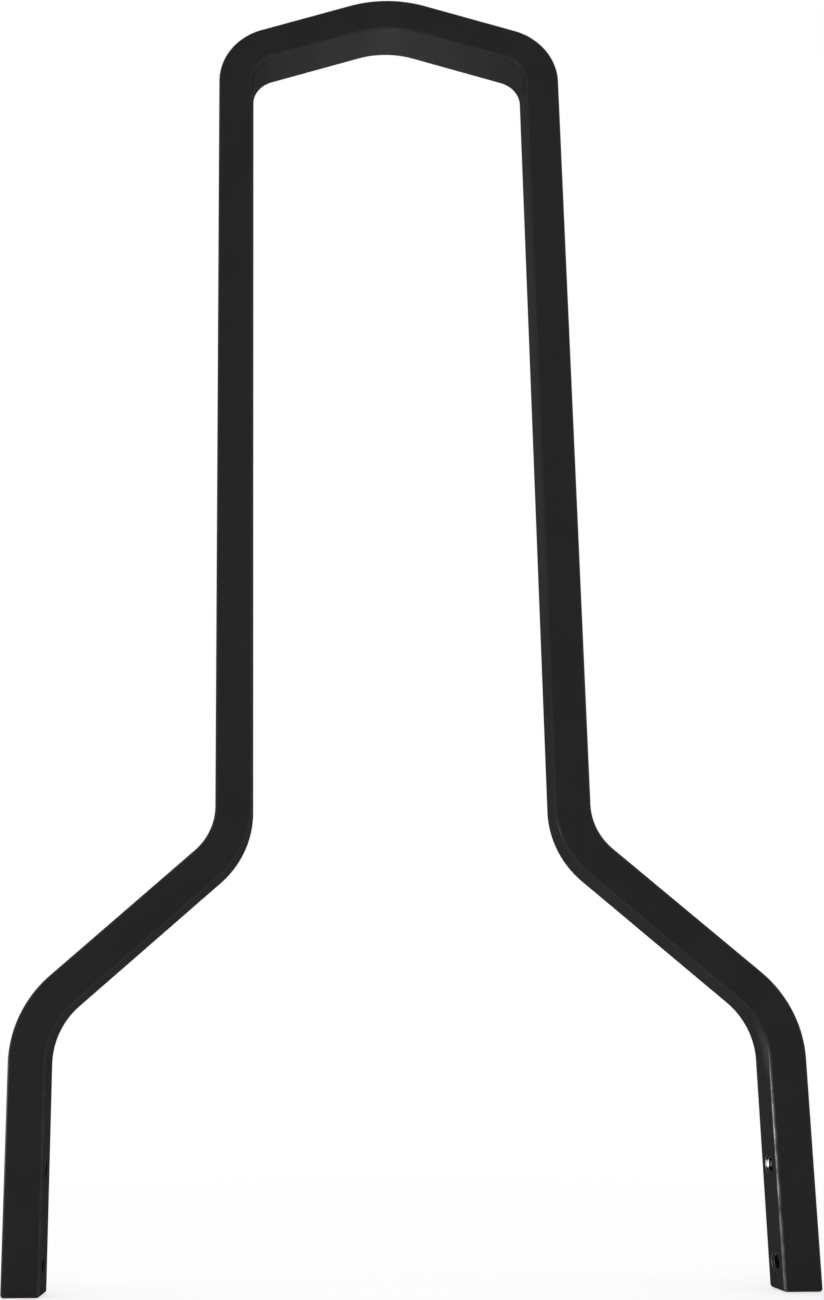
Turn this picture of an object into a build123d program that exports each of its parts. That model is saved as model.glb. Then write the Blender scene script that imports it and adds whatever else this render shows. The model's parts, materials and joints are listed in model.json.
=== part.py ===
"""Sissy bar: the backrest hoop behind a motorcycle's passenger seat.

The hoop is one length of solid square steel bar, bent flat into a peaked arch. Two upright
sides carry the crown, flare outwards below it to clear the rear fender, and end in two legs
that are tapped crosswise for the bolts that hold the hoop to the fender struts.

Millimetres. The origin lies midway between the two foot ends, on their plane and in the
middle of the bar's depth. +X is across the motorcycle, +Y to its rear and +Z up.
"""

from build123d import *
import os

# Bar stock
bar_width = 12.7
bar_corner_radius = 1.2
foot_edge_radius = 1.1

# Clear widths inside the hoop
upright_gap = 103.5
leg_gap = 239.7

# Heights of the bends' corner points on the bar's centre line, above the foot ends
flare_foot_height = 89.5
flare_top_height = 149.8
shoulder_height = 456.7
crown_rise = 18.4

# Bend radii on the bar's centre line
flare_foot_radius = 32.5
flare_top_radius = 27.0
shoulder_radius = 16.5
crown_radius = 41.5

# Tapped holes for the mounting bolts, drawn at the root of the thread
bolt_diameter = 6.0
thread_root_clearance = 0.1
hole_edge_break = 0.2
lower_hole_height = 8.8
hole_spacing = 31.3

# Places that follow from the sizes above
upright_x = (upright_gap + bar_width) / 2
leg_x = (leg_gap + bar_width) / 2
leg_outer_x = leg_x + bar_width / 2
hole_radius = (bolt_diameter + thread_root_clearance) / 2
hole_heights = [lower_hole_height, lower_hole_height + hole_spacing]

right_corners = [
    (upright_x, shoulder_height),
    (upright_x, flare_top_height),
    (leg_x, flare_foot_height),
    (leg_x, 0),
]
left_corners = [(-x, z) for x, z in reversed(right_corners)]
crown_corner = (0, shoulder_height + crown_rise)
right_radii = [shoulder_radius, flare_top_radius, flare_foot_radius]
bend_radii = right_radii[::-1] + [crown_radius] + right_radii

# The bent bar
with BuildPart() as sissy_bar:
    with BuildLine(Plane.XZ) as centre_line:
        FilletPolyline(*left_corners, crown_corner, *right_corners, radius=bend_radii)
    with BuildSketch(Plane.XY) as bar_section:
        with Locations((-leg_x, 0)):
            RectangleRounded(bar_width, bar_width, bar_corner_radius)
    sweep(path=centre_line.wires()[0])

    # The two sawn foot ends have their edges rounded over.
    foot_ends = sissy_bar.faces().filter_by(Axis.Z).group_by(Axis.Z)[0]
    fillet(foot_ends.edges(), radius=foot_edge_radius)

    # Each pair of holes is drilled straight across both legs.
    with BuildSketch(Plane.YZ) as hole_marks:
        with Locations(*[(0, height) for height in hole_heights]):
            Circle(hole_radius)
    extrude(amount=leg_outer_x + bar_width, both=True, mode=Mode.SUBTRACT)
    across_legs = sissy_bar.edges().filter_by(GeomType.CIRCLE).filter_by(Plane.YZ)
    hole_mouths = across_legs.filter_by(lambda edge: edge.is_closed)
    chamfer(hole_mouths, length=hole_edge_break)

sissy_bar.part.label = "sissy_bar"

os.makedirs("parts", exist_ok=True)
export_step(sissy_bar.part, "parts/sissy_bar.step")
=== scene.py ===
"""Studio scene of a sissy bar, the backrest hoop behind a motorcycle's passenger seat.

The hoop is one bent length of square steel bar under a black powder coat, with two tapped holes
in each leg. Metres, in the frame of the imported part: +X across the motorcycle, +Y to its rear,
+Z up, and the two feet on Z = 0.
"""

from __future__ import annotations

import functools
import json
import logging
import math
from collections.abc import Callable
from dataclasses import dataclass
from enum import Enum
from typing import Any

import bmesh
import bpy
from mathutils import Euler, Matrix, Vector


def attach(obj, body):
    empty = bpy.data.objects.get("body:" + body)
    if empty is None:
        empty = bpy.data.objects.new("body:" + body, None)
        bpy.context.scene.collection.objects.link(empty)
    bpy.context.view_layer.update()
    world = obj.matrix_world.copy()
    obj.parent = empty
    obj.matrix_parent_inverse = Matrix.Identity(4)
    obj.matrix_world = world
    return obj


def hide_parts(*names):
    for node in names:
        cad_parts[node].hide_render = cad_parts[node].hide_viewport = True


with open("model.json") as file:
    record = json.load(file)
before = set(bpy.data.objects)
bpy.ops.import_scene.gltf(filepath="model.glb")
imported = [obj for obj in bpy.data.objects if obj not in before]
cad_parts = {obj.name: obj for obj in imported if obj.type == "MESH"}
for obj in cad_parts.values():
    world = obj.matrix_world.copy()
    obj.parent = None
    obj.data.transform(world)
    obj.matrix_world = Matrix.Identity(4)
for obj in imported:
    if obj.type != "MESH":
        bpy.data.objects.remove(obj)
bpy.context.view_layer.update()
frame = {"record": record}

log = logging.getLogger("sissy_bar")

Piece = bpy.types.Object
Socket = bpy.types.NodeSocket
Value = Socket | float
Colour = tuple[float, float, float, float]
Point = tuple[float, float, float]
Span = tuple[float, float]

BODY = "root"
BAR_NODE = "sissy_bar"
MM_PER_METRE = 1000
ORIGIN: Point = (0.0, 0.0, 0.0)
WHITE: Colour = (1.0, 1.0, 1.0, 1.0)
QUARTER_TURN = math.radians(90)

# A shorter distance than this counts as none, in metres.
TINY = 1e-5

# A face whose normal has this much of an axis in it faces along that axis.
FACES_ALONG = 0.9

# A skew direction, along which no two points of a mesh are level.
ORDER_AXIS = Vector((0.71, 0.53, 0.47))

# The weight at which the large faces alone set the shading of the edges between them.
LARGE_FACES_ONLY = 100


class Side(Enum):
    """The two legs, by the sign of X."""

    LEFT = -1
    RIGHT = 1


class Level(Enum):
    """The two holes of a leg, in hole spacings from the middle of the pair."""

    LOWER = -0.5
    UPPER = 0.5


class Element(Enum):
    """The kinds of mesh element that a test can choose."""

    EDGE = "EDGE"
    FACE = "FACE"


def grey(level: float) -> Colour:
    """Gives an opaque grey of one level."""
    return (level, level, level, 1.0)


class Bench:
    """Small steps of modelling that every piece uses."""

    @staticmethod
    def clear() -> None:
        """Leaves edit mode and deselects everything."""
        active = bpy.context.view_layer.objects.active
        if active is not None and active.mode != "OBJECT":
            bpy.ops.object.mode_set(mode="OBJECT")
        bpy.ops.object.select_all(action="DESELECT")

    @staticmethod
    def pick(piece: Piece) -> None:
        """Makes one piece the only selected and active object.

        Args:
            piece: The piece to pick.
        """
        Bench.clear()
        piece.select_set(True)
        bpy.context.view_layer.objects.active = piece

    @staticmethod
    def edit(piece: Piece) -> None:
        """Opens a piece in edit mode with all of its mesh selected.

        Args:
            piece: The piece to open.
        """
        Bench.pick(piece)
        bpy.ops.object.mode_set(mode="EDIT")
        bpy.ops.mesh.select_all(action="SELECT")

    @staticmethod
    def settle(name: str) -> Piece:
        """Names the primitive just added and puts its place and turn into its mesh.

        Args:
            name: The name for the object and its mesh.

        Returns:
            The new object, at the origin.
        """
        bpy.ops.object.transform_apply(location=True, rotation=True, scale=True)
        piece = bpy.context.object
        piece.name = name
        piece.data.name = name
        return piece

    @staticmethod
    def choose(piece: Piece, element: Element, wanted: Callable[[Any], bool]) -> None:
        """Selects the faces or the edges of an open piece that pass a test.

        Args:
            piece: The piece open in edit mode.
            element: The kind of element to test.
            wanted: The test of one face or edge.
        """
        bpy.ops.mesh.select_mode(type=element.value)
        bpy.ops.mesh.select_all(action="DESELECT")
        mesh = bmesh.from_edit_mesh(piece.data)
        for item in mesh.faces if element is Element.FACE else mesh.edges:
            item.select_set(wanted(item))
        bmesh.update_edit_mesh(piece.data)

    @staticmethod
    def modify(piece: Piece, kind: str, **settings: Any) -> None:
        """Adds a modifier, sets it and applies it.

        Args:
            piece: The piece to change.
            kind: The modifier's type name.
            **settings: The modifier's values.
        """
        Bench.pick(piece)
        bpy.ops.object.modifier_add(type=kind)
        modifier = piece.modifiers[-1]
        for name, value in settings.items():
            setattr(modifier, name, value)
        bpy.ops.object.modifier_apply(modifier=modifier.name)

    @staticmethod
    def cut(piece: Piece, cutter: Piece) -> None:
        """Cuts a cutter's shape out of a piece and removes the cutter."""
        Bench.modify(piece, "BOOLEAN", operation="DIFFERENCE", solver="EXACT", object=cutter)
        Bench.discard(cutter)

    @staticmethod
    def close(piece: Piece, merge: float) -> None:
        """Merges doubled points, turns every face outwards and orders the mesh by place.

        The exact boolean leaves points and faces in an order that changes from run to run.

        Args:
            piece: The piece to clean.
            merge: The distance within which points are one.
        """
        Bench.edit(piece)
        bpy.ops.mesh.remove_doubles(threshold=merge)
        bpy.ops.mesh.normals_make_consistent(inside=False)
        mesh = bmesh.from_edit_mesh(piece.data)
        mesh.verts.sort(key=lambda point: point.co.dot(ORDER_AXIS))
        mesh.faces.sort(key=lambda face: face.calc_center_median().dot(ORDER_AXIS))
        bmesh.update_edit_mesh(piece.data)
        bpy.ops.object.mode_set(mode="OBJECT")

    @staticmethod
    def smooth(piece: Piece, angle: float) -> None:
        """Shades round edges smoothly and keeps the flats flat.

        Args:
            piece: The piece to shade.
            angle: Edges sharper than this stay sharp, in radians.
        """
        Bench.pick(piece)
        bpy.ops.object.shade_smooth_by_angle(angle=angle)
        Bench.modify(piece, "WEIGHTED_NORMAL", keep_sharp=True, weight=LARGE_FACES_ONLY)

    @staticmethod
    def dress(piece: Piece, finish: bpy.types.Material) -> None:
        """Gives a piece its one material."""
        piece.data.materials.clear()
        piece.data.materials.append(finish)

    @staticmethod
    def copy_to(piece: Piece, name: str, place: Vector, turn: float = 0.0) -> Piece:
        """Copies a piece with its own mesh, turns the copy about X and moves it.

        Args:
            piece: The piece modelled once, about the origin.
            name: The copy's name.
            place: Where the copy's middle goes.
            turn: The angle of the turn, in radians.

        Returns:
            The copy, with its place in its mesh.
        """
        Bench.pick(piece)
        bpy.ops.object.duplicate(linked=False)
        bpy.ops.transform.rotate(value=turn, orient_axis="X", center_override=ORIGIN)
        bpy.ops.transform.translate(value=place)
        return Bench.settle(name)

    @staticmethod
    def discard(piece: Piece) -> None:
        """Removes a cutter or pattern that has done its work.

        Args:
            piece: The cutter or pattern.
        """
        mesh = piece.data
        bpy.data.objects.remove(piece)
        bpy.data.meshes.remove(mesh)


class NodeSheet:
    """The node tree of one material or of the world, with short ways to add and wire nodes."""

    # Most values of a noise lie in this span.
    noise_middle: Span = (0.3, 0.7)

    def __init__(self, tree: bpy.types.NodeTree) -> None:
        """Takes a node tree and empties it."""
        self.tree = tree
        tree.nodes.clear()

    def add(
        self, kind: str, inputs: dict[Any, Any] | None = None, **settings: Any
    ) -> bpy.types.Node:
        """Adds a node.

        Args:
            kind: The node's type name.
            inputs: Values or output sockets for its inputs, by name or number.
            **settings: Values for the node's own properties.

        Returns:
            The new node.
        """
        node = self.tree.nodes.new(kind)
        for name, value in settings.items():
            setattr(node, name, value)
        for key, value in (inputs or {}).items():
            if isinstance(value, Socket):
                self.tree.links.new(value, node.inputs[key])
            else:
                node.inputs[key].default_value = value
        return node

    def split(self, vector: Socket) -> bpy.types.NodeOutputs:
        """Splits a vector into X, Y and Z."""
        return self.add("ShaderNodeSeparateXYZ", {"Vector": vector}).outputs

    def noise(self, where: Socket, size: float, detail: float = 2.0) -> Socket:
        """Adds a noise of about 0 to 1, with blotches of a size in metres."""
        inputs = {"Vector": where, "Scale": 1 / size, "Detail": detail}
        return self.add("ShaderNodeTexNoise", inputs).outputs["Fac"]

    def maths(self, operation: str, first: Value, second: Value = 0.0) -> Socket:
        """Adds one step of arithmetic on one or two values."""
        inputs = {0: first, 1: second}
        return self.add("ShaderNodeMath", inputs, operation=operation).outputs["Value"]

    def product(self, *values: Value) -> Socket:
        """Multiplies two or more values."""
        return functools.reduce(functools.partial(self.maths, "MULTIPLY"), values)

    def largest(self, *values: Value) -> Socket:
        """Takes the largest of two or more values."""
        return functools.reduce(functools.partial(self.maths, "MAXIMUM"), values)

    def ramp(self, value: Socket, source: Span, result: Span = (0.0, 1.0)) -> Socket:
        """Maps a value smoothly from one span to another, and holds it at the ends."""
        return self._map(value, source, result, "SMOOTHSTEP")

    def spread(self, noise: Socket, result: Span = (0.0, 1.0)) -> Socket:
        """Maps the middle of a noise evenly to a span."""
        return self._map(noise, self.noise_middle, result, "LINEAR")

    def _map(self, value: Socket, source: Span, result: Span, course: str) -> Socket:
        """Maps a value from one span to another.

        Args:
            value: The value.
            source: Where the mapping starts and ends.
            result: What it gives there.
            course: The type name of the curve between the two.

        Returns:
            The mapped value.
        """
        inputs = {
            "Value": value,
            "From Min": source[0],
            "From Max": source[1],
            "To Min": result[0],
            "To Max": result[1],
        }
        return self.add("ShaderNodeMapRange", inputs, interpolation_type=course).outputs["Result"]

    def blend(self, share: Socket, first: Colour | Socket, second: Colour | Socket) -> Socket:
        """Mixes two colours, whose inputs on the node are told apart by number alone."""
        inputs = {0: share, 6: first, 7: second}
        return self.add("ShaderNodeMix", inputs, data_type="RGBA").outputs[2]

    def mix(self, share: Socket, first: Socket, second: Socket) -> Socket:
        """Mixes two shaders."""
        inputs = {0: share, 1: first, 2: second}
        return self.add("ShaderNodeMixShader", inputs).outputs["Shader"]

    def bump(self, height: Socket, depth: float, under: Socket | None = None) -> Socket:
        """Adds a bump.

        Args:
            height: The pattern that rises and falls.
            depth: How far it does, in metres.
            under: The normal of a coarser bump below this one.

        Returns:
            The bumped normal.
        """
        inputs = {"Height": height, "Distance": depth, "Strength": 1.0}
        if under is not None:
            inputs["Normal"] = under
        return self.add("ShaderNodeBump", inputs).outputs["Normal"]


def new_material(name: str) -> tuple[bpy.types.Material, NodeSheet]:
    """Makes an empty material.

    Args:
        name: The material's name.

    Returns:
        The material and its node tree.
    """
    material = bpy.data.materials.new(name)
    material.use_nodes = True
    return material, NodeSheet(material.node_tree)


@dataclass(frozen=True)
class CoatGloss:
    """How glossy the black coat is, by place: most on the rubbed inner edges of the legs.

    Heights, reaches and places are in metres. A tilt is how much of a surface's normal points
    away from the hoop's middle, so it is below zero on the inside.
    """

    face_gloss: float = 0.0125
    edge_gloss: float = 0.08
    inner_tilt: Span = (-0.1, -0.4)
    upright_gloss: float = 0.032
    upright_tilt: Span = (-0.4, -0.95)
    upright_heights: Span = (0.12, 0.28)

    # The left leg's gloss turns into the right leg's between two places across the hoop.
    left_to_right: Span = (-0.05, 0.05)
    leg_gloss: Span = (0.13, 0.75)
    leg_heights: Span = (0.084, 0.060)
    rub_size: float = 0.006
    rub_strength: Span = (0.15, 1.45)
    bend_gloss: float = 0.2
    bend_middle: float = 0.078
    bend_reach: float = 0.013
    bend_front: Span = (0.002, -0.006)

    # Front times flank is a quarter at most, at 45 degrees.
    slant_scale: float = 4.0

    def build(self, sheet: NodeSheet, spot: bpy.types.NodeOutputs) -> Socket:
        """Works out the weight of the gloss.

        Args:
            sheet: The coat's node tree.
            spot: The texture coordinates.

        Returns:
            The weight of the gloss.
        """
        facing = sheet.split(spot["Normal"])
        place = sheet.split(spot["Object"])
        tilt = sheet.product(facing["X"], sheet.maths("SIGN", place["X"]))
        rounded = self._rounded(sheet, facing["Y"])
        leg = sheet.ramp(place["X"], self.left_to_right, self.leg_gloss)
        inner_leg = sheet.product(sheet.ramp(tilt, self.inner_tilt), leg)
        rub = sheet.spread(sheet.noise(spot["Object"], self.rub_size), self.rub_strength)
        low = sheet.ramp(place["Z"], self.leg_heights)
        return sheet.largest(
            self.face_gloss,
            sheet.product(rounded, self.edge_gloss),
            self._on_uprights(sheet, tilt, place["Z"]),
            sheet.product(self._in_bends(sheet, place), inner_leg),
            sheet.product(rounded, rub, low, inner_leg),
        )

    def _rounded(self, sheet: NodeSheet, forward: Socket) -> Socket:
        """Tells the rounded edges along the bar from its flats.

        Args:
            sheet: The coat's node tree.
            forward: How much of the normal points to the front or the back.

        Returns:
            A value of 0 on the flats and of 1 where an edge is turned by 45 degrees.
        """
        front = sheet.product(forward, forward)
        flank = sheet.maths("SUBTRACT", 1.0, front)
        return sheet.product(front, flank, self.slant_scale)

    def _on_uprights(self, sheet: NodeSheet, tilt: Socket, height: Socket) -> Socket:
        """Gives the gloss of the uprights' inner faces.

        Args:
            sheet: The coat's node tree.
            tilt: The tilt of the surface.
            height: The height on the bar.

        Returns:
            The weight of the gloss.
        """
        inside = sheet.ramp(tilt, self.upright_tilt)
        high = sheet.ramp(height, self.upright_heights, (0.0, self.upright_gloss))
        return sheet.product(inside, high)

    def _in_bends(self, sheet: NodeSheet, place: bpy.types.NodeOutputs) -> Socket:
        """Gives the gloss of the front part of the bends above the legs.

        Args:
            sheet: The coat's node tree.
            place: The place on the bar.

        Returns:
            The weight of the gloss, where the surface faces inwards.
        """
        away = sheet.maths("ABSOLUTE", sheet.maths("SUBTRACT", place["Z"], self.bend_middle))
        bend = sheet.ramp(away, (self.bend_reach, 0.0), (0.0, self.bend_gloss))
        return sheet.product(bend, sheet.ramp(place["Y"], self.bend_front))


@dataclass(frozen=True)
class BlackPowderCoat:
    """Black powder coat: a near-black satin skin with a faint orange peel."""

    gloss: CoatGloss = CoatGloss()
    deep_colour: Colour = grey(0.0195)
    pale_colour: Colour = grey(0.0220)
    mottle_size: float = 0.018
    mottle_detail: float = 4.0
    peel_size: float = 0.0016
    peel_detail: float = 1.0
    peel_height: float = 0.000012
    grain_size: float = 0.00035
    grain_height: float = 0.000002
    roughness: Span = (0.30, 0.40)
    gloss_roughness: float = 0.28
    gloss_index: float = 2.0

    def build(self) -> bpy.types.Material:
        """Makes the material.

        Returns:
            The finished material.
        """
        material, sheet = new_material("black_powder_coat")
        spot = sheet.add("ShaderNodeTexCoord").outputs
        mottle = sheet.noise(spot["Object"], self.mottle_size, self.mottle_detail)
        peel = sheet.noise(spot["Object"], self.peel_size, self.peel_detail)
        grain = sheet.noise(spot["Object"], self.grain_size)
        skin = sheet.bump(grain, self.grain_height, sheet.bump(peel, self.peel_height))
        shader = sheet.add(
            "ShaderNodeBsdfPrincipled",
            {
                "Base Color": sheet.blend(sheet.spread(mottle), self.deep_colour, self.pale_colour),
                "Roughness": sheet.spread(mottle, self.roughness),
                "Normal": skin,
                "Specular IOR Level": 0.0,
                "Coat Weight": self.gloss.build(sheet, spot),
                "Coat Roughness": self.gloss_roughness,
                "Coat IOR": self.gloss_index,
                "Coat Normal": skin,
            },
        )
        sheet.add("ShaderNodeOutputMaterial", {"Surface": shader.outputs["BSDF"]})
        return material


@dataclass(frozen=True)
class CutSteel:
    """Steel of a tapped thread: coated at the mouth, darkened inside as a painted shade of the hole,
    with a painted glint on one spot.
    """

    leg_middle: float
    half_width: float
    coat_colour: Colour = grey(0.02)
    # Painted shade: the steel inside the hole takes these two dark tones, mixed at random, to stand
    # in for the shade in the hole.
    dark_colour: Colour = grey(0.03)
    paler_shade_colour: Colour = grey(0.07)
    # The colour of a painted glint on one spot of one thread.
    glint_colour: Colour = grey(0.75)
    coat_reach: float = 0.0008
    coat_fade: float = 0.0004
    # The painted glint sits on the upper right hole's thread, at this place and within these radii.
    glint_place: Point = (0.1208, 0.0026, 0.0404)
    glint_radii: Span = (0.0015, 0.00105)
    stain_size: float = 0.002
    stain_detail: float = 3.0
    ring_size: float = 0.00012
    ring_detail: float = 1.0
    ring_height: float = 0.000004
    ring_stretch: Point = (1.0, 0.1, 0.1)
    roughness: Span = (0.22, 0.45)

    def build(self) -> bpy.types.Material:
        """Makes the material.

        Returns:
            The finished material.
        """
        material, sheet = new_material("cut_steel")
        where = sheet.add("ShaderNodeTexCoord").outputs["Object"]
        stain = sheet.noise(where, self.stain_size, self.stain_detail)
        bare = self._bare(sheet, where)
        # A painted glint: bright metal colour on one spot of the thread.
        spots = {0: where, 1: self.glint_place}
        away = sheet.add("ShaderNodeVectorMath", spots, operation="DISTANCE").outputs["Value"]
        painted_glint = sheet.ramp(away, self.glint_radii)
        # Painted shade: dark steel tones that stand in for the shade inside the hole.
        shaded_steel = sheet.blend(sheet.spread(stain), self.dark_colour, self.paler_shade_colour)
        cut = sheet.blend(bare, self.coat_colour, shaded_steel)
        along = sheet.add("ShaderNodeMapping", {"Vector": where, "Scale": self.ring_stretch})
        rings = sheet.noise(along.outputs["Vector"], self.ring_size, self.ring_detail)
        shader = sheet.add(
            "ShaderNodeBsdfPrincipled",
            {
                "Base Color": sheet.blend(painted_glint, cut, self.glint_colour),
                "Metallic": sheet.largest(bare, painted_glint),
                "Specular IOR Level": 0.0,
                "Roughness": sheet.spread(stain, self.roughness),
                "Normal": sheet.bump(rings, self.ring_height),
            },
        )
        sheet.add("ShaderNodeOutputMaterial", {"Surface": shader.outputs["BSDF"]})
        return material

    def _bare(self, sheet: NodeSheet, where: Socket) -> Socket:
        """Tells the bare thread from the coated turns at the mouths of the hole.

        Args:
            sheet: The steel's node tree.
            where: The object coordinates.

        Returns:
            A value of 1 inside the hole and of 0 at its mouths.
        """
        across = sheet.maths("ABSOLUTE", sheet.split(where)["X"])
        depth = sheet.maths("ABSOLUTE", sheet.maths("SUBTRACT", across, self.leg_middle))
        inside = self.half_width - self.coat_reach
        return sheet.ramp(depth, (inside + self.coat_fade, inside))


def sees_background(sheet: NodeSheet) -> Socket:
    """Gives 1 for camera, glossy and transmission rays, and 0 for rays that only carry light."""
    rays = sheet.add("ShaderNodeLightPath").outputs
    return sheet.largest(*(rays[f"Is {kind} Ray"] for kind in ("Camera", "Glossy", "Transmission")))


@dataclass(frozen=True)
class PaleFloor:
    """A matt pale floor that keeps the shadow near the feet and runs out into white."""

    colour: Colour = grey(0.90)
    roughness: float = 0.9
    shadow_reach: float = 0.25
    fade_reach: float = 0.7
    near_glow: float = 0.65

    def build(self) -> bpy.types.Material:
        """Makes the material.

        Returns:
            The finished material.
        """
        material, sheet = new_material("pale_floor")
        where = sheet.add("ShaderNodeTexCoord").outputs["Object"]
        away = sheet.add("ShaderNodeVectorMath", {0: where}, operation="LENGTH").outputs["Value"]
        fade = sheet.ramp(away, (self.shadow_reach, self.fade_reach), (self.near_glow, 1.0))
        share = sheet.product(fade, sees_background(sheet))
        matt = {"Base Color": self.colour, "Roughness": self.roughness, "Specular IOR Level": 0.0}
        ground = sheet.add("ShaderNodeBsdfPrincipled", matt)
        glow = sheet.add("ShaderNodeEmission", {"Color": WHITE, "Strength": 1.0})
        surface = sheet.mix(share, ground.outputs["BSDF"], glow.outputs["Emission"])
        sheet.add("ShaderNodeOutputMaterial", {"Surface": surface})
        return material


@dataclass(frozen=True)
class Bend:
    """One bend of the centre line: the corner it rounds off, and its radius."""

    corner: tuple[float, float]
    radius: float


@dataclass
class Drill:
    """A cutter along X: a rod that flares at both faces of the bar."""

    rod_radius: float
    mouth_radius: float
    bar_width: float
    overshoot: float = 0.0015
    sides: int = 72

    def build(self) -> Piece:
        """Models the cutter about the origin.

        Returns:
            The cutter.
        """
        flare = self.mouth_radius - self.rod_radius
        waist = self.bar_width - 2 * flare
        Bench.clear()
        bpy.ops.mesh.primitive_cylinder_add(
            vertices=self.sides,
            radius=self.rod_radius,
            depth=waist,
            rotation=(0.0, QUARTER_TURN, 0.0),
        )
        cutter = Bench.settle("drill")
        Bench.edit(cutter)
        Bench.choose(cutter, Element.FACE, lambda face: abs(face.normal.x) > FACES_ALONG)
        outer = flare + self.overshoot
        wider = (self.rod_radius + outer) / self.rod_radius
        longer = (waist + 2 * outer) / waist
        bpy.ops.mesh.extrude_region()
        bpy.ops.transform.resize(value=(longer, wider, wider), center_override=ORIGIN)
        bpy.ops.object.mode_set(mode="OBJECT")
        return cutter


@dataclass
class HolePattern:
    """The four tapped holes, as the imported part's bolt mounts give them."""

    radius: float
    spacing: float
    leg_face: float
    middle_height: float
    edge_break: float = 0.0002

    @classmethod
    def from_record(cls, record: dict[str, Any]) -> HolePattern:
        """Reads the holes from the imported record.

        Args:
            record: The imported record.

        Returns:
            The pattern of holes.
        """
        bolts = next(mount for mount in record["mounts"] if mount["name"] == "right_leg_bolts")
        sizes = bolts["dims"]
        return cls(
            radius=sizes["hole_r_mm"] / MM_PER_METRE,
            spacing=sizes["spacing_y_mm"] / MM_PER_METRE,
            leg_face=bolts["pos_m"][0],
            middle_height=bolts["pos_m"][2],
        )

    @property
    def mouth_radius(self) -> float:
        """The radius of a hole's broken edge, where it meets the bar's face."""
        return self.radius + self.edge_break

    def places(self, bar_width: float) -> dict[str, Vector]:
        """Names the holes and gives their middles.

        Args:
            bar_width: The bar's width, which each hole crosses.

        Returns:
            The middle of each hole, by name.
        """
        leg = self.leg_face - bar_width / 2
        return {
            f"{side.name.lower()}_{level.name.lower()}": Vector(
                (side.value * leg, 0.0, self.middle_height + level.value * self.spacing)
            )
            for side in Side
            for level in Level
        }


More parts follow.
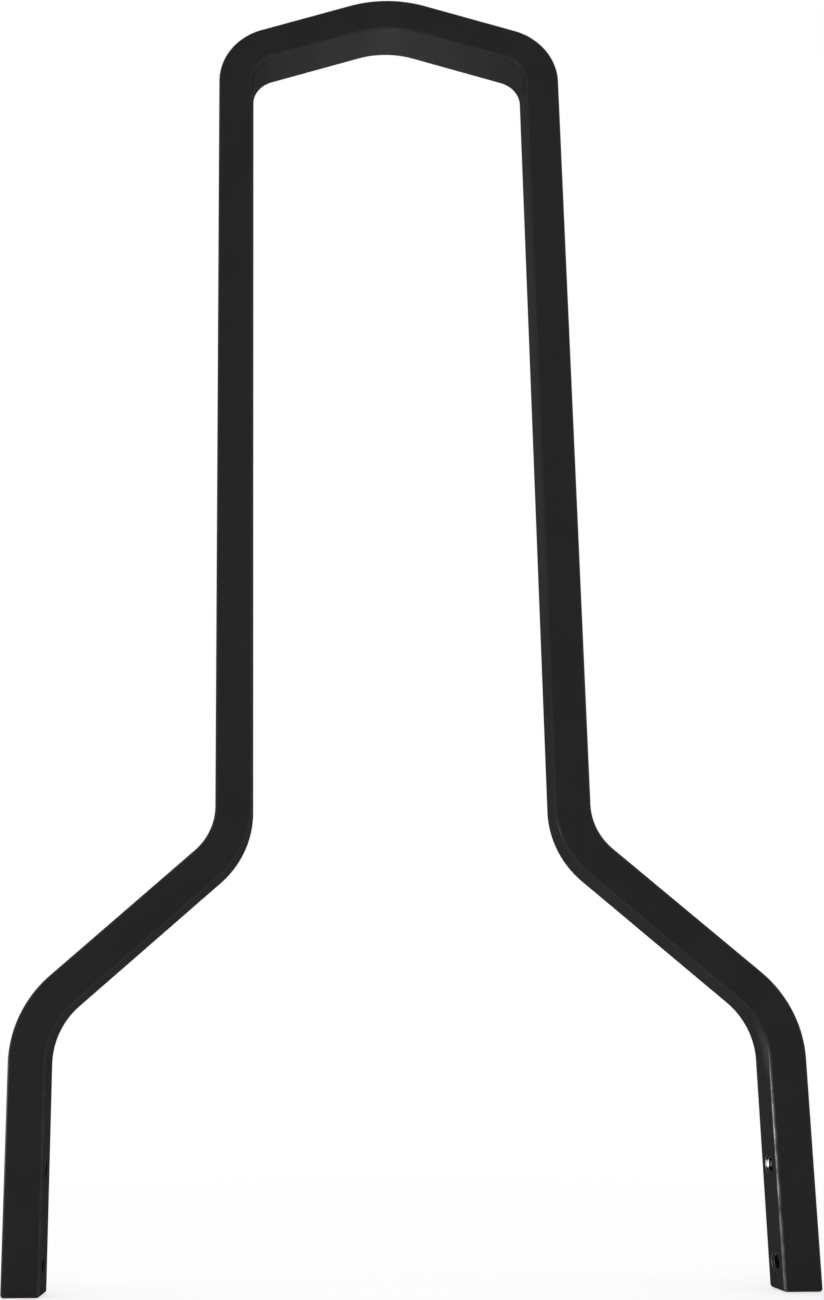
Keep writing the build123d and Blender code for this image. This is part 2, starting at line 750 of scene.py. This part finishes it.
@dataclass
class BentBar:
    """The hoop: square bar, bent flat, drilled across both legs and coated."""

    holes: HolePattern
    coat: bpy.types.Material
    width: float = 0.0127
    corner_radius: float = 0.0012
    foot_radius: float = 0.0011
    upright_gap: float = 0.1035
    leg_gap: float = 0.2397
    flare_foot_height: float = 0.0895
    flare_top_height: float = 0.1498
    shoulder_height: float = 0.4567
    crown_rise: float = 0.0184
    flare_foot_radius: float = 0.0325
    flare_top_radius: float = 0.027
    shoulder_radius: float = 0.0165
    crown_radius: float = 0.0415
    corner_steps: int = 8
    foot_steps: int = 5
    turn_step: float = math.radians(1.5)
    fewest_turn_steps: int = 4
    sharp_angle: float = math.radians(32)
    merge: float = 1e-6

    @property
    def crown(self) -> Bend:
        """The bend at the top, in the middle of the hoop."""
        return Bend((0.0, self.shoulder_height + self.crown_rise), self.crown_radius)

    @property
    def right_bends(self) -> list[Bend]:
        """The bends below the crown on the right, from the top down."""
        upright = (self.upright_gap + self.width) / 2
        leg = (self.leg_gap + self.width) / 2
        return [
            Bend((upright, self.shoulder_height), self.shoulder_radius),
            Bend((upright, self.flare_top_height), self.flare_top_radius),
            Bend((leg, self.flare_foot_height), self.flare_foot_radius),
        ]

    def build(self) -> Piece:
        """Models the bar and dresses it.

        Returns:
            The finished piece.
        """
        piece = self._half_hoop()
        Bench.modify(piece, "MIRROR", use_axis=(True, False, False), merge_threshold=TINY)
        Bench.close(piece, self.merge)
        self._round_feet(piece)
        self._drill(piece)
        Bench.close(piece, self.merge)
        Bench.smooth(piece, self.sharp_angle)
        Bench.dress(piece, self.coat)
        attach(piece, BODY)
        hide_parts(BAR_NODE)
        return piece

    def _half_hoop(self) -> Piece:
        """Sweeps the bar's section from the middle of the crown to the right foot.

        Returns:
            The right half, open where it meets the left half.
        """
        bends = self.right_bends
        heading = Vector((1.0, 0.0))
        crown_corner = Vector(self.crown.corner)
        slope = (Vector(bends[0].corner) - crown_corner).normalized()
        half_turn = heading.angle(slope)
        drop = self.crown.radius * (1 / math.cos(half_turn) - 1)
        apex = crown_corner - Vector((0.0, drop))
        piece = self._section(apex)
        self._turn(apex, heading, self.crown.radius, half_turn)
        place = crown_corner + slope * self.crown.radius * math.tan(half_turn)
        heading = slope
        foot = Vector((bends[-1].corner[0], 0.0))
        targets = [Vector(bend.corner) for bend in bends[1:]] + [foot]
        for bend, target in zip(bends, targets):
            corner = Vector(bend.corner)
            leaving = (target - corner).normalized()
            turn = heading.angle_signed(leaving)
            reach = bend.radius * math.tan(abs(turn) / 2)
            start = corner - heading * reach
            self._run(place, start)
            self._turn(start, heading, bend.radius, turn)
            place = corner + leaving * reach
            heading = leaving
        self._run(place, foot)

        # The foot's end is pressed flat onto the floor, and the end in the middle is opened.
        bpy.ops.transform.resize(value=(1.0, 1.0, 0.0), center_override=ORIGIN)
        Bench.choose(piece, Element.FACE, lambda face: abs(face.calc_center_median().x) < TINY)
        bpy.ops.mesh.delete(type="ONLY_FACE")
        bpy.ops.object.mode_set(mode="OBJECT")
        return piece

    def _section(self, apex: Vector) -> Piece:
        """Draws the bar's rounded square where the hoop crosses the middle.

        Args:
            apex: The centre line's highest point, in X and Z.

        Returns:
            The piece, open in edit mode with its one face selected.
        """
        Bench.clear()
        bpy.ops.mesh.primitive_plane_add(
            size=self.width, location=(apex.x, 0.0, apex.y), rotation=(0.0, QUARTER_TURN, 0.0)
        )
        piece = Bench.settle("bent_bar")
        Bench.edit(piece)
        bpy.ops.mesh.bevel(offset=self.corner_radius, segments=self.corner_steps, affect="VERTICES")
        bpy.ops.mesh.select_mode(type=Element.FACE.value)
        bpy.ops.mesh.select_all(action="SELECT")
        return piece

    def _run(self, start: Vector, end: Vector) -> None:
        """Draws the bar on in a straight line, between two points of the centre line."""
        step = end - start
        bpy.ops.mesh.extrude_region_move(TRANSFORM_OT_translate={"value": (step.x, 0.0, step.y)})

    def _turn(self, start: Vector, heading: Vector, radius: float, turn: float) -> None:
        """Draws the bar on round a bend.

        Args:
            start: Where the bend starts on the centre line.
            heading: The bar's direction there.
            radius: The bend's radius.
            turn: The angle of the bend, positive to the right of the heading.
        """
        right_hand = math.copysign(1.0, turn)
        centre = start + Vector((heading.y, -heading.x)) * radius * right_hand
        bpy.ops.mesh.spin(
            steps=max(self.fewest_turn_steps, round(abs(turn) / self.turn_step)),
            angle=abs(turn),
            center=(centre.x, 0.0, centre.y),
            axis=(0.0, -right_hand, 0.0),
        )

    def _round_feet(self, piece: Piece) -> None:
        """Rounds over the edges of the two foot ends.

        Args:
            piece: The whole hoop.
        """

        def is_foot_end(face: bmesh.types.BMFace) -> bool:
            """Tells a foot end, which lies on the floor and faces down, from other faces."""
            return face.normal.z < -FACES_ALONG and face.calc_center_median().z < TINY

        Bench.edit(piece)
        Bench.choose(piece, Element.FACE, is_foot_end)
        bpy.ops.mesh.region_to_loop()
        bpy.ops.mesh.bevel(offset=self.foot_radius, segments=self.foot_steps, affect="EDGES")
        bpy.ops.object.mode_set(mode="OBJECT")

    def _drill(self, piece: Piece) -> None:
        """Cuts the holes, with their edges broken.

        Args:
            piece: The whole hoop.
        """
        drill = Drill(self.holes.radius, self.holes.mouth_radius, self.width).build()
        for name, place in self.holes.places(self.width).items():
            Bench.cut(piece, Bench.copy_to(drill, f"drill_{name}", place))
        Bench.discard(drill)


@dataclass
class TappedThreads:
    """The thread in each hole: one ridge modelled once and copied into the four holes."""

    holes: HolePattern
    steel: bpy.types.Material
    bar_width: float
    pitch: float = 0.001
    crest_radius: float = 0.00247
    crest_width: float = 0.00025
    turn_gap: float = 0.00002
    seat_depth: float = 0.00003
    steps: int = 48
    start_turn: float = math.radians(75)
    sharp_angle: float = math.radians(25)
    merge: float = 1e-7

    def build(self) -> list[Piece]:
        """Models the ridge, trims it to the bar and copies it into the holes.

        Returns:
            The four finished pieces.
        """
        ridge = self._ridge()
        inner_radius = self.crest_radius - self.seat_depth
        Bench.cut(ridge, Drill(inner_radius, self.holes.mouth_radius, self.bar_width).build())
        Bench.close(ridge, self.merge)
        Bench.smooth(ridge, self.sharp_angle)
        Bench.dress(ridge, self.steel)
        pieces = []
        for count, (name, place) in enumerate(self.holes.places(self.bar_width).items()):
            thread = Bench.copy_to(ridge, f"thread_{name}", place, count * self.start_turn)
            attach(thread, BODY)
            pieces.append(thread)
        Bench.discard(ridge)
        return pieces

    def _ridge(self) -> Piece:
        """Winds the ridge's section along X, longer than the bar is wide.

        Returns:
            The ridge as a closed helix.
        """
        turns = math.ceil(self.bar_width / self.pitch) + 1
        ridge = self._ridge_section(-turns * self.pitch / 2)
        Bench.modify(
            ridge,
            "SCREW",
            axis="X",
            angle=math.tau,
            screw_offset=self.pitch,
            iterations=turns,
            steps=self.steps,
            render_steps=self.steps,
        )
        Bench.edit(ridge)
        bpy.ops.mesh.fill_holes(sides=0)
        bpy.ops.object.mode_set(mode="OBJECT")
        Bench.close(ridge, self.merge)
        return ridge

    def _ridge_section(self, start: float) -> Piece:
        """Draws the ridge's section: a low seat in the hole's wall, and a flank up to the crest.

        Args:
            start: The middle of the section along X.

        Returns:
            The section as one face, open in edit mode.
        """
        base = self.pitch - self.turn_gap
        root = self.holes.radius
        middle = root + base / 2
        seat_middle = root + self.seat_depth / 2
        Bench.clear()
        bpy.ops.mesh.primitive_plane_add(size=base, location=(start, middle, 0.0))
        ridge = Bench.settle("thread")
        Bench.edit(ridge)
        Bench.choose(ridge, Element.EDGE, lambda edge: min(v.co.y for v in edge.verts) > middle)
        bpy.ops.transform.translate(value=(0.0, self.seat_depth - base, 0.0))
        Bench.choose(ridge, Element.EDGE, lambda edge: max(v.co.y for v in edge.verts) < seat_middle)
        rise = (0.0, self.crest_radius - root, 0.0)
        bpy.ops.mesh.extrude_region_move(TRANSFORM_OT_translate={"value": rise})
        narrow = self.crest_width / base
        bpy.ops.transform.resize(value=(narrow, 1.0, 1.0), center_override=(start, 0.0, 0.0))
        Bench.choose(ridge, Element.EDGE, lambda edge: len(edge.link_faces) == 2)
        bpy.ops.mesh.dissolve_edges()
        return ridge


@dataclass(frozen=True)
class SoftBox:
    """A rectangular lamp that faces a point, its sides in metres and its power in watts."""

    name: str
    place: Point
    aim: Point
    size: tuple[float, float]
    power: float

    # A grid over the lamp narrows its beam to this angle.
    spread: float = math.radians(180)

    def build(self) -> bpy.types.Object:
        """Hangs the lamp.

        Returns:
            The lamp.
        """
        lamp = bpy.data.lights.new(self.name, "AREA")
        lamp.shape = "RECTANGLE"
        lamp.size, lamp.size_y = self.size
        lamp.energy = self.power
        lamp.spread = self.spread
        rig = bpy.data.objects.new(self.name, lamp)
        rig.location = self.place
        rig.visible_camera = False
        facing = Vector(self.aim) - Vector(self.place)
        rig.rotation_euler = facing.to_track_quat("-Z", "Y").to_euler()
        bpy.context.scene.collection.objects.link(rig)
        return rig


@dataclass
class Studio:
    """The floor, the white surroundings and the lamps."""

    floor_finish: PaleFloor
    floor_radius: float = 6.0
    floor_sides: int = 96
    floor_drop: float = 0.0001
    soft_light: float = 0.45
    lamps: tuple[SoftBox, ...] = (
        SoftBox(
            "top_softbox",
            place=(0.0, 0.15, 1.5),
            aim=(0.0, 0.0, 0.2),
            size=(1.0, 1.0),
            power=14.0,
        ),
        SoftBox(
            "left_softbox",
            place=(-0.73, -0.02, 0.06),
            aim=(0.12, 0.0, 0.05),
            size=(0.36, 0.11),
            power=2.2,
        ),
        SoftBox(
            "right_softbox",
            place=(0.90, -0.10, 0.35),
            aim=(-0.10, 0.0, 0.15),
            size=(0.5, 0.5),
            power=1.0,
        ),
        SoftBox(
            "front_softbox",
            place=(0.0, -1.4, 1.1),
            aim=(0.0, 0.0, 0.25),
            size=(1.2, 1.2),
            power=3.6,
        ),
        SoftBox(
            "low_softbox",
            place=(-0.005, 0.25, 0.03),
            aim=(-0.005, 0.0, 0.47),
            size=(0.08, 0.08),
            power=0.02,
            spread=math.radians(13),
        ),
    )

    def build(self) -> None:
        """Lays the floor, sets the world and hangs the lamps."""
        self._floor()
        self._world()
        for lamp in self.lamps:
            lamp.build()
            log.info("lamp %s", lamp.name)
        bpy.context.scene.view_settings.view_transform = "Standard"

    def _floor(self) -> None:
        """Lays a round floor just under the feet."""
        Bench.clear()
        bpy.ops.mesh.primitive_circle_add(
            vertices=self.floor_sides,
            radius=self.floor_radius,
            fill_type="NGON",
            location=(0.0, 0.0, -self.floor_drop),
        )
        floor = Bench.settle("floor")
        Bench.dress(floor, self.floor_finish.build())

    def _world(self) -> None:
        """Makes the world white to look at and a soft grey as a light."""
        world = bpy.data.worlds.new("white_studio")
        world.use_nodes = True
        bpy.context.scene.world = world
        sheet = NodeSheet(world.node_tree)
        light = sheet.add("ShaderNodeBackground", {"Color": WHITE, "Strength": self.soft_light})
        white = sheet.add("ShaderNodeBackground", {"Color": WHITE, "Strength": 1.0})
        seen = sees_background(sheet)
        surface = sheet.mix(seen, light.outputs["Background"], white.outputs["Background"])
        sheet.add("ShaderNodeOutputWorld", {"Surface": surface})


@dataclass(frozen=True)
class PhotoCamera:
    """A camera low in front of the hoop and left of its middle, looking slightly up."""

    place: Point = (-0.038869, -0.406636, 0.060807)
    pitch: float = math.radians(9.046)
    yaw: float = math.radians(-0.647)
    roll: float = math.radians(-0.361)
    lens: float = 33.311
    sensor: float = 36.0
    shift: tuple[float, float] = (0.0832, 0.2023)
    nearest: float = 0.01

    def build(self) -> bpy.types.Object:
        """Sets up the camera and makes it the scene's own.

        Returns:
            The camera.
        """
        data = bpy.data.cameras.new("photo_camera")
        data.lens = self.lens
        data.sensor_width = self.sensor
        data.shift_x, data.shift_y = self.shift
        data.clip_start = self.nearest
        camera = bpy.data.objects.new("photo_camera", data)
        level = Euler((QUARTER_TURN + self.pitch, 0.0, self.yaw)).to_matrix()
        turned = level @ Matrix.Rotation(self.roll, 3, "Z")
        camera.matrix_world = Matrix.Translation(self.place) @ turned.to_4x4()
        bpy.context.scene.collection.objects.link(camera)
        bpy.context.scene.camera = camera
        return camera


def report(piece: Piece) -> None:
    """Logs a piece's name, faces and size."""
    size = ", ".join(f"{side * MM_PER_METRE:.1f}" for side in piece.dimensions)
    log.info("piece %s: %d faces, %s mm", piece.name, len(piece.data.polygons), size)


def main() -> None:
    """Builds the hoop, its threads, the studio and the camera."""
    logging.basicConfig(level=logging.INFO, format="%(message)s")
    holes = HolePattern.from_record(frame["record"])
    bar = BentBar(holes, BlackPowderCoat().build())
    report(bar.build())
    steel = CutSteel(holes.leg_face - bar.width / 2, bar.width / 2).build()
    for thread in TappedThreads(holes, steel, bar.width).build():
        report(thread)
    Studio(PaleFloor()).build()
    PhotoCamera().build()


if __name__ == "__main__":
    main()
